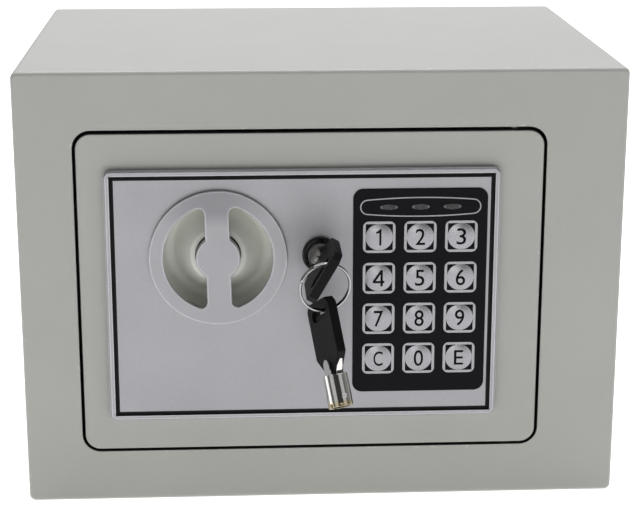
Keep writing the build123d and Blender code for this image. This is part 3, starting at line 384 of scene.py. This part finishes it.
def make_paint():
    """Warm grey powder coat: orange peel, faint mottling, rubbed specks, painted light in the finger dish
    and painted shade in the door gap.
    """
    mat, tree, shader = material("cabinet_paint")
    colour = (0.455, 0.462, 0.425)
    dish_light_gain, chip_shade, gap_shade = 1.8, 1.4, 0.12
    cloud = noise(tree, scale=35, detail=4)
    fine = noise(tree, scale=900, detail=2)
    coat = mixed(tree, varied(tree, cloud, 0, 1), shade(colour, 0.96), shade(colour, 1.03))
    coat = mixed(tree, ranged(tree, fine, 0.25, 0.75, 0, 1), coat, shade(colour, 1.01))
    # Painted light: the coat inside the finger dish is made paler to look more lit.
    coat = mixed(tree, dish_painted_light(tree), coat, shade(colour, dish_light_gain))
    coat = mixed(tree, chips(tree), coat, shade(colour, chip_shade))
    # Painted shade: the faces lining the door gap are darkened to stand in for the shadow there.
    coat = mixed(tree, gap_painted_shade(tree), coat, shade(colour, gap_shade))
    feed(tree, shader, "Base Color", coat)
    feed(tree, shader, "Roughness", varied(tree, fine, 0.42, 0.55))
    edge = soft_edges(tree, shader, reach=0.0004)
    peel = bump(tree, shader, noise(tree, scale=520, detail=2, roughness=0.4), distance=0.00006, before=edge)
    bump(tree, shader, noise(tree, scale=1600, detail=2), distance=0.000015, before=peel)
    return mat


# Silver fascia and knob

def knob_top_shade(tree):
    """Painted shade: a soft darker sector at the top of the knob's rim, standing in for the darker
    reflection there; nought elsewhere.
    """
    rim_radius, front_face = 0.0263, 0.0006
    fade_start, fade_end = 0.012, 0.018
    side_slope, top_slope = 0.55, 0.98
    least_reach = 0.001
    x, y, z = axes(tree, local(tree, offset=knob_centre))
    reach = radius(tree, x, z)
    rim = both(tree, ranged(tree, reach, fade_start, fade_end, 0, 1), below(tree, reach, rim_radius))
    rim = both(tree, rim, below(tree, y, front_face))
    slope = math_node(tree, "DIVIDE", z, larger(tree, reach, least_reach))
    return both(tree, rim, ranged(tree, slope, side_slope, top_slope, 0, 1))


def groove_line(tree):
    """One on the groove round the silver panel and on the printed line beside it."""
    inner, outer = -0.0016, 0.0001
    x, _, z = axes(tree, local(tree, offset=middle("fascia_inlay")))
    half = span("fascia_inlay") / 2
    past_x = math_node(tree, "SUBTRACT", unsigned(tree, x), half.x)
    past_z = math_node(tree, "SUBTRACT", unsigned(tree, z), half.z)
    past = larger(tree, past_x, past_z)
    return both(tree, above(tree, past, inner), below(tree, past, outer))


def make_silver():
    """Silver paint on plastic, with fine metallic flake and a soft sheen; painted highlights along the edges
    and painted shade at the top of the knob's rim.
    """
    mat, tree, shader = material("silver_plastic")
    low, high = (0.325, 0.322, 0.338), (0.402, 0.399, 0.416)
    painted_edge_highlight = (0.85, 0.85, 0.88)
    line_black = (0.01, 0.01, 0.011)
    sector_shade = 0.78
    flake = noise(tree, scale=5200, detail=2, roughness=0.7)
    tone = mixed(tree, varied(tree, flake, 0, 1), low, high)
    # Painted shade at the top of the knob's rim.
    tone = mixed(tree, knob_top_shade(tree), tone, shade(low, sector_shade))
    # Painted highlight: the sharp edges are made pale as if catching the light.
    tone = mixed(tree, edge_mask(tree, reach=0.0008), tone, painted_edge_highlight)
    feed(tree, shader, "Base Color", mixed(tree, groove_line(tree), tone, line_black))
    feed(tree, shader, "Metallic", 0.55)
    feed(tree, shader, "Roughness", varied(tree, noise(tree, scale=60), 0.36, 0.44))
    bump(tree, shader, flake, distance=0.000006, before=soft_edges(tree, shader, reach=0.00025))
    return mat


# Keypad

def key_silver_zone(tree):
    """One on a key's dome and on the square line round it, nought on the corners between them."""
    rim_inset = 0.0006
    dome_gap, line_width = 0.00098, 0.00102
    corner_reach, outer_reach = 0.0011, 0.00002
    x, _, z = axes(tree, local(tree))
    x = from_row(tree, x, middle("button_2").x, pitch_x)
    z = from_row(tree, z, middle("button_2").z, pitch_z)
    half = span("button_1").x / 2 - rim_inset
    reach = radius(tree, x, z)
    side = larger(tree, unsigned(tree, x), unsigned(tree, z))
    dome = below(tree, reach, half - dome_gap)
    corner = above(tree, reach, half + corner_reach)
    line = larger(tree, above(tree, side, half - line_width), corner)
    return larger(tree, dome, both(tree, line, below(tree, side, half + outer_reach)))


def make_key_silver():
    """Key caps: silver dome and silver square line, black corners between them."""
    mat, tree, shader = material("key_silver")
    dull, bright = (0.3, 0.3, 0.315), (0.38, 0.38, 0.395)
    corner_black = (0.006, 0.006, 0.008)
    silver = key_silver_zone(tree)
    flake = noise(tree, scale=5200, detail=2)
    metal = mixed(tree, varied(tree, flake, 0, 1), dull, bright)
    feed(tree, shader, "Base Color", mixed(tree, silver, corner_black, metal))
    feed(tree, shader, "Metallic", ranged(tree, silver, 0, 1, 0, 0.75))
    feed(tree, shader, "Roughness", varied(tree, flake, 0.24, 0.32))
    feed(tree, shader, "Specular IOR Level", 0.05)
    bump(tree, shader, flake, distance=0.000004, before=soft_edges(tree, shader, reach=0.00015))
    return mat


def make_led_lens():
    """Status lights, unlit: smoked lenses, with a painted glint at both ends."""
    mat, tree, shader = material("led_lens")
    led_width = 0.0067
    end_start, end_full = 0.0021, 0.0033
    spot_low, spot_high = 0.45, 0.65
    smoke, pale_spot = (0.018, 0.018, 0.02), (0.045, 0.045, 0.047)
    painted_end_glint = (0.17, 0.17, 0.17)
    pitch = (span("status_leds").x - led_width) / 2
    x = from_row(tree, axes(tree, local(tree))[0], middle("status_leds").x, pitch)
    # Painted highlight: each lens is made paler towards its ends, standing in for glints.
    glint_ends = ranged(tree, unsigned(tree, x), end_start, end_full, 0, 1)
    spots = ranged(tree, noise(tree, scale=1400, detail=2), spot_low, spot_high, 0, 1)
    lens = mixed(tree, spots, smoke, pale_spot)
    feed(tree, shader, "Base Color", mixed(tree, glint_ends, lens, painted_end_glint))
    feed(tree, shader, "Roughness", 0.18)
    feed(tree, shader, "Specular IOR Level", 0.4)
    soft_edges(tree, shader, reach=0.0003)
    return mat


# Lock and keys

def make_dark_chrome():
    """Lock face: polished, with fine turned rings about the lock's axis."""
    mat, tree, shader = material("dark_chrome")
    dark, pale = (0.015, 0.015, 0.015), (0.07, 0.068, 0.066)
    rings = tree.nodes.new("ShaderNodeTexWave")
    rings.wave_type = "RINGS"
    rings.rings_direction = "Y"
    rings.inputs["Scale"].default_value = 900
    rings.inputs["Distortion"].default_value = 0.4
    axis_place = (lock_centre.x, 0, lock_centre.z)
    tree.links.new(local(tree, offset=axis_place), rings.inputs["Vector"])
    feed(tree, shader, "Base Color", mixed(tree, rings.outputs["Fac"], dark, pale))
    feed(tree, shader, "Metallic", 1.0)
    feed(tree, shader, "Roughness", 0.1)
    edge = soft_edges(tree, shader, reach=0.0002)
    bump(tree, shader, rings.outputs["Fac"], distance=0.00001, before=edge)
    return mat


def spare_tip(tree):
    """One on the milled tip of the spare key."""
    tip_full, tip_end = -0.0333, -0.0326
    along = tree.nodes.new("ShaderNodeVectorMath")
    along.operation = "DOT_PRODUCT"
    tree.links.new(local(tree, offset=spare_key_place.translation), along.inputs[0])
    along.inputs[1].default_value = spare_key_place.to_3x3().col[2]
    return ranged(tree, along.outputs["Value"], tip_full, tip_end, 1, 0)


def make_key_chrome():
    """Nickel plate, brass where the spare key's tip is milled, turned grooves on the key in the lock, which
    is also made less metallic and rougher so it looks more lit (painted light).
    """
    mat, tree, shader = material("key_chrome")
    dull, bright = (0.72, 0.71, 0.68), (0.8, 0.79, 0.76)
    brass, groove_dark = (0.8, 0.7, 0.5), (0.12, 0.115, 0.11)
    below_lock = 0.006
    groove_frequency, groove_limit = 9000, 0.45
    lines = noise(tree, scale=1200, detail=2)
    plate = mixed(tree, varied(tree, lines, 0, 1), dull, bright)
    _, y, z = axes(tree, local(tree))
    wave = math_node(tree, "SINE", math_node(tree, "MULTIPLY", y, groove_frequency))
    in_lock = above(tree, z, lock_centre.z - below_lock)
    plate = mixed(tree, both(tree, above(tree, wave, groove_limit), in_lock), plate, groove_dark)
    feed(tree, shader, "Base Color", mixed(tree, spare_tip(tree), plate, brass))
    # Painted light: the key in the lock is less metallic and rougher, so it shows brighter.
    feed(tree, shader, "Metallic", ranged(tree, in_lock, 0, 1, 1, 0.6))
    feed(tree, shader, "Roughness", ranged(tree, in_lock, 0, 1, 0.12, 0.3))
    bump(tree, shader, lines, distance=0.000003, before=soft_edges(tree, shader, reach=0.0002))
    return mat


# Felt mat and battery cells

def make_felt():
    """Dark fibrous felt."""
    mat, tree, shader = material("felt")
    dark, pale = (0.02, 0.02, 0.022), (0.07, 0.07, 0.075)
    fibre = noise(tree, scale=900, detail=6, roughness=0.75, stretch=(1, 3, 1))
    feed(tree, shader, "Base Color", mixed(tree, varied(tree, fibre, 0, 1), dark, pale))
    feed(tree, shader, "Roughness", 0.95)
    feed(tree, shader, "Sheen Weight", 0.4)
    bump(tree, shader, fibre, distance=0.0004)
    return mat


def make_cell_jacket():
    """Dark cell film with a copper-coloured end band."""
    mat, tree, shader = material("cell_jacket")
    film, copper = (0.02, 0.022, 0.028), (0.55, 0.27, 0.1)
    band_width = 0.014
    cells_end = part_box("battery_cells")[1][0]
    band = above(tree, axes(tree, local(tree))[0], cells_end - band_width)
    feed(tree, shader, "Base Color", mixed(tree, band, film, copper))
    feed(tree, shader, "Metallic", 0.4)
    feed(tree, shader, "Roughness", varied(tree, noise(tree, scale=400), 0.24, 0.34))
    return mat


# Plain materials

def simple(name, colour, roughness, metallic=0.0, grain=0.0, scale=1500, stretch=(1, 1, 1), specular=0.5):
    """Material with small variations in tone and gloss and a fine grain."""
    tone_spread, gloss_spread, least_roughness, edge_reach = 0.06, 0.15, 0.03, 0.0002
    mat, tree, shader = material(name)
    rough = noise(tree, scale=scale, stretch=stretch)
    cloud = noise(tree, scale=120)
    dark, pale = shade(colour, 1 - tone_spread), shade(colour, 1 + tone_spread)
    low = max(least_roughness, roughness * (1 - gloss_spread))
    high = roughness * (1 + gloss_spread)
    feed(tree, shader, "Base Color", mixed(tree, varied(tree, cloud, 0, 1), dark, pale))
    feed(tree, shader, "Metallic", metallic)
    feed(tree, shader, "Roughness", varied(tree, rough, low, high))
    feed(tree, shader, "Specular IOR Level", specular)
    edge = soft_edges(tree, shader, edge_reach)
    if grain:
        bump(tree, shader, rough, distance=grain, before=edge)
    return mat


plain_looks = {
    "black_plastic": dict(colour=(0.006, 0.006, 0.0065), roughness=0.45, grain=0.00002, specular=0.1),
    "gloss_black": dict(colour=(0.0065, 0.0065, 0.0085), roughness=0.3, grain=0.000004, scale=2500,
                        specular=0.06),
    "silicone": dict(colour=(0.3, 0.31, 0.32), roughness=0.6, grain=0.00001),
    "board_green": dict(colour=(0.02, 0.13, 0.05), roughness=0.35, grain=0.00001),
    "ring_steel": dict(colour=(0.38, 0.38, 0.38), roughness=0.14, metallic=1.0, grain=0.000003, scale=2500),
    "bow_black": dict(colour=(0.0055, 0.0055, 0.006), roughness=0.42, grain=0.00003, scale=1800,
                      specular=0.1),
    "zinc_steel": dict(colour=(0.55, 0.55, 0.53), roughness=0.35, metallic=1.0, grain=0.00001,
                       stretch=(1, 1, 12)),
    "bolt_steel": dict(colour=(0.62, 0.62, 0.62), roughness=0.25, metallic=1.0, grain=0.000008,
                       stretch=(1, 14, 14)),
    "copper_winding": dict(colour=(0.42, 0.15, 0.05), roughness=0.35, metallic=0.6, grain=0.00006,
                           stretch=(1, 1, 6)),
    "red_plastic": dict(colour=(0.5, 0.02, 0.02), roughness=0.3, grain=0.00001),
}


def make_materials():
    """One procedural material for each of the record's slots."""
    materials = {name: simple(name, **look) for name, look in plain_looks.items()}
    materials["cabinet_paint"] = make_paint()
    materials["silver_plastic"] = make_silver()
    materials["key_silver"] = make_key_silver()
    materials["led_lens"] = make_led_lens()
    materials["dark_chrome"] = make_dark_chrome()
    materials["key_chrome"] = make_key_chrome()
    materials["felt"] = make_felt()
    materials["cell_jacket"] = make_cell_jacket()
    return materials


def dress_nodes(materials):
    """Puts each slot's material on its CAD nodes."""
    for part in record["subparts"]:
        node = nodes[part["node"]]
        node.data.materials.clear()
        node.data.materials.append(materials[part["material_slot"]])


# Tools for the pieces added to the solids

def surface_of(name):
    """Search tree over a CAD node's faces."""
    node = nodes[name]
    mesh = bmesh.new()
    mesh.from_mesh(node.data)
    mesh.transform(node.matrix_world)
    tree = BVHTree.FromBMesh(mesh)
    mesh.free()
    return tree


def finished_mesh(name, work):
    """Mesh from a working mesh, with its faces turned outwards."""
    bmesh.ops.recalc_face_normals(work, faces=work.faces[:])
    mesh = bpy.data.meshes.new(name)
    work.to_mesh(mesh)
    work.free()
    return mesh


def add_object(name, mesh, mat, body):
    """Object from a mesh, with its material, riding on a body."""
    piece = bpy.data.objects.new(name, mesh)
    scene.collection.objects.link(piece)
    mesh.materials.clear()
    mesh.materials.append(mat)
    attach(piece, body)
    return piece


def fine_triangles(work, longest):
    """Splits a mesh's edges until none is longer than asked."""
    most_rounds = 6
    for _ in range(most_rounds):
        bmesh.ops.triangulate(work, faces=work.faces[:])
        long_edges = [edge for edge in work.edges if edge.calc_length() > longest]
        if not long_edges:
            break
        bmesh.ops.subdivide_edges(work, edges=long_edges, cuts=1)
    bmesh.ops.triangulate(work, faces=work.faces[:])


# Characters printed on the keys

figure_height, letter_height = 0.0064, 0.0059
character_width = 0.0036
stroke_growth = 0.004
longest_print_edge = 0.0008
print_lift, print_thickness = 0.00002, 0.00003


def flat_mesh(name, points, faces):
    """Flat mesh from points in X and Y."""
    flat = bpy.data.meshes.new(name)
    flat.from_pydata([(x, y, 0) for x, y in points], [], faces)
    return flat


def glyph_mesh(letter, height, width):
    """Flat mesh of a letter centred at the origin, scaled to a height and a width."""
    curve = bpy.data.curves.new("glyph", "FONT")
    curve.body = letter
    curve.resolution_u = 6
    curve.offset = stroke_growth
    holder = bpy.data.objects.new("glyph", curve)
    scene.collection.objects.link(holder)
    bpy.context.view_layer.update()
    flat = bpy.data.meshes.new_from_object(holder)
    bpy.data.objects.remove(holder)
    bpy.data.curves.remove(curve)
    xs = [v.co.x for v in flat.vertices]
    ys = [v.co.y for v in flat.vertices]
    scale_x = width / (max(xs) - min(xs))
    scale_y = height / (max(ys) - min(ys))
    for v in flat.vertices:
        v.co.x = (v.co.x - (max(xs) + min(xs)) / 2) * scale_x
        v.co.y = (v.co.y - (max(ys) + min(ys)) / 2) * scale_y
    return flat


def figure_one(height):
    """Flat mesh of the figure 1: an upright with a flag at its top left."""
    half = height / 2
    stroke = 0.0008
    flag_left = -0.0012
    points = [(0, -half), (stroke, -half), (stroke, half), (0.0002, half), (-0.0003, half - 0.0006),
              (flag_left, half - 0.0011), (flag_left, half - 0.0018), (0, half - 0.0014)]
    return flat_mesh("figure_one", points, [tuple(range(len(points)))])


def figure_four(height):
    """Flat mesh of the figure 4: an upright, a crossbar and a slanted stroke round an open triangle."""
    half = height / 2
    left, right = 0.0006, 0.0015
    low, high = -0.0019, -0.001
    bar_left, bar_right = -0.0023, 0.0021
    inner_left, inner_top = -0.0012, half - 0.0016
    points = [(left, -half), (right, -half), (right, low), (left, low), (left, high), (right, high),
              (right, half), (left, half), (left, inner_top), (bar_left, low), (bar_left, high),
              (inner_left, high), (bar_right, low), (bar_right, high)]
    upright = [(0, 1, 2, 3), (3, 2, 5, 4), (4, 5, 6, 7, 8)]
    crossbar = [(9, 3, 4, 11, 10), (2, 12, 13, 5)]
    slant = [(10, 11, 8, 7)]
    return flat_mesh("figure_four", points, upright + crossbar + slant)


def character_mesh(letter):
    """Flat mesh of a key's character."""
    drawn = {"1": figure_one, "4": figure_four}
    height = letter_height if letter.isalpha() else figure_height
    return drawn[letter](height) if letter in drawn else glyph_mesh(letter, height, character_width)


def lay_on(work, node_name):
    """Drops a flat mesh onto the front of a CAD node, at its middle."""
    far_in_front = -0.2
    surface = surface_of(node_name)
    centre = middle(node_name)
    for v in work.verts:
        start = Vector((centre.x + v.co.x, far_in_front, centre.z + v.co.y))
        hit = surface.ray_cast(start, Vector((0, 1, 0)))[0]
        v.co = (start.x, hit.y - print_lift, start.z)


def make_legend(name, mat):
    """Printed character lying on a key's dome."""
    flat = character_mesh(name.upper())
    work = bmesh.new()
    work.from_mesh(flat)
    bpy.data.meshes.remove(flat)
    bmesh.ops.remove_doubles(work, verts=work.verts[:], dist=1e-6)
    fine_triangles(work, longest_print_edge)
    lay_on(work, "button_" + name)
    legend_name = "legend_" + name
    piece = add_object(legend_name, finished_mesh(legend_name, work), mat, "key_cap_" + name)
    solid = piece.modifiers.new("thickness", "SOLIDIFY")
    solid.thickness = print_thickness
    solid.offset = 0


# Silver line round the window of the status lights

def lens_points(grow):
    """Points round the window's outline, moved outwards by grow, in X and Z."""
    window_end_radius = 0.00265
    long_steps, end_steps = 24, 12
    size = span("led_window")
    centre = middle("led_window")
    end = window_end_radius + grow
    flat = size.x / 2 + grow - end
    mid = size.z / 2 + grow
    sag = mid - end
    bow = (flat * flat + sag * sag) / (2 * sag)
    points = []
    for step in range(long_steps + 1):
        x = -flat + 2 * flat * step / long_steps
        points.append((x, mid - bow + math.sqrt(bow * bow - x * x)))
    for step in range(1, end_steps):
        turn = math.pi / 2 - math.pi * step / end_steps
        points.append((flat + end * math.cos(turn), end * math.sin(turn)))
    other = [(-x, -z) for x, z in points]
    return [(centre.x + x, centre.z + z) for x, z in points + other]


def make_lens_line(mat):
    """Silver line round the window of the status lights."""
    outward, inward = 0.00035, -0.0001
    proud, sunk = 0.00008, 0.0001
    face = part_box("keypad_plate")[0][1]
    outer, inner = lens_points(outward), lens_points(inward)
    back, front = face + sunk, face - proud
    work = bmesh.new()
    loops = []
    for points, y in ((outer, back), (outer, front), (inner, front), (inner, back)):
        loops.append([work.verts.new((x, y, z)) for x, z in points])
    for a, b in zip(loops, loops[1:] + loops[:1]):
        for i in range(len(outer)):
            j = (i + 1) % len(outer)
            work.faces.new((a[i], a[j], b[j], b[i]))
    add_object("lens_line", finished_mesh("lens_line", work), mat, "door")


# Details of the keys

def make_edge_tongues(name, place, body, mat):
    """Two tongues of a key's tube, folded up the narrow sides of its bow."""
    half_width, sheet, tip_share, rounding = 0.0011, 0.0003, 0.45, 0.00012
    path = [(0.0043, -0.0232), (0.00455, -0.0217), (0.0059, -0.0202), (0.0083, -0.0180)]
    widths = [half_width, half_width, half_width, half_width * tip_share]
    work = bmesh.new()
    for side in (-1, 1):
        rows = []
        for (x, z), across in zip(path, widths):
            corners = [(side * (x + out), y, z) for out in (0, sheet) for y in (-across, across)]
            rows.append([work.verts.new(place @ Vector(corner)) for corner in corners])
        for low, high in zip(rows, rows[1:]):
            for a, b in ((0, 1), (1, 3), (3, 2), (2, 0)):
                work.faces.new((low[a], low[b], high[b], high[a]))
        for row in (rows[0], rows[-1]):
            work.faces.new((row[0], row[1], row[3], row[2]))
    piece = add_object(name, finished_mesh(name, work), mat, body)
    soft = piece.modifiers.new("rounding", "BEVEL")
    soft.width = rounding
    soft.segments = 2


def make_slot_shade_block(name, place, body, mat):
    """Black block in the lower part of a bow's slot, below the ring: painted shade, filling the slot where
    light would show through.
    """
    length, depth = 0.0126, 0.0018
    low, high = -0.0021, 0.0001
    turn = place @ Matrix.Translation((0, 0, (low + high) / 2))
    size = Matrix.Diagonal((length, depth, high - low, 1))
    work = bmesh.new()
    bmesh.ops.create_cube(work, size=1, matrix=turn @ size)
    add_object(name, finished_mesh(name, work), mat, body)


# Felt mat

def add_loop(work, points, level):
    """Closed loop of edges through points in X and Y."""
    verts = [work.verts.new((x, y, level)) for x, y in points]
    return [work.edges.new(pair) for pair in zip(verts, verts[1:] + verts[:1])]


def make_mat_sheet(mat):
    """Felt mat laid on the cabinet's floor, cut out over the anchor holes."""
    hole_radius, hole_steps = 0.007, 32
    longest_edge = 0.008
    ripple_height, ripple_x, ripple_y, ripple_sink = 0.0001, 90, 70, 0.00015
    low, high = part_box("floor_mat")
    work = bmesh.new()
    border = [(low[0], low[1]), (high[0], low[1]), (high[0], high[1]), (low[0], high[1])]
    edges = add_loop(work, border, low[2])
    turns = [2 * math.pi * step / hole_steps for step in range(hole_steps)]
    for x in (-anchor_x, anchor_x):
        hole = [(x + hole_radius * math.cos(t), anchor_y + hole_radius * math.sin(t)) for t in turns]
        edges += add_loop(work, hole, low[2])
    bmesh.ops.triangle_fill(work, edges=edges, use_beauty=True)
    fine_triangles(work, longest_edge)
    for face in work.faces:
        if face.normal.z < 0:
            face.normal_flip()
    top = bmesh.ops.extrude_face_region(work, geom=work.faces[:])
    for v in [part for part in top["geom"] if isinstance(part, bmesh.types.BMVert)]:
        ripple = math.sin(v.co.x * ripple_x) * math.sin(v.co.y * ripple_y)
        v.co.z = high[2] - ripple_sink + ripple_height * ripple
    piece = add_object("mat_sheet", finished_mesh("mat_sheet", work), mat, "cabinet")
    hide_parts("floor_mat")


scene.view_settings.view_transform = "Standard"
make_camera()
make_world()
make_floor()
make_lights()
materials = make_materials()
dress_nodes(materials)
print_ink = simple("print_ink", (0.006, 0.006, 0.007), 0.5, specular=0.05)
line_silver = simple("line_silver", (0.36, 0.36, 0.38), 0.35, metallic=0.5)
for key_name in key_names:
    make_legend(key_name, print_ink)
make_lens_line(line_silver)
make_edge_tongues("key_edge_tongues", lock_key_place, "key", materials["key_chrome"])
make_edge_tongues("spare_edge_tongues", spare_key_place, "spare_key", materials["key_chrome"])
# Painted shade: a black block fills the lower part of the spare key's slot.
make_slot_shade_block("spare_slot_shade_block", spare_key_place, "spare_key", materials["bow_black"])
make_mat_sheet(materials["felt"])
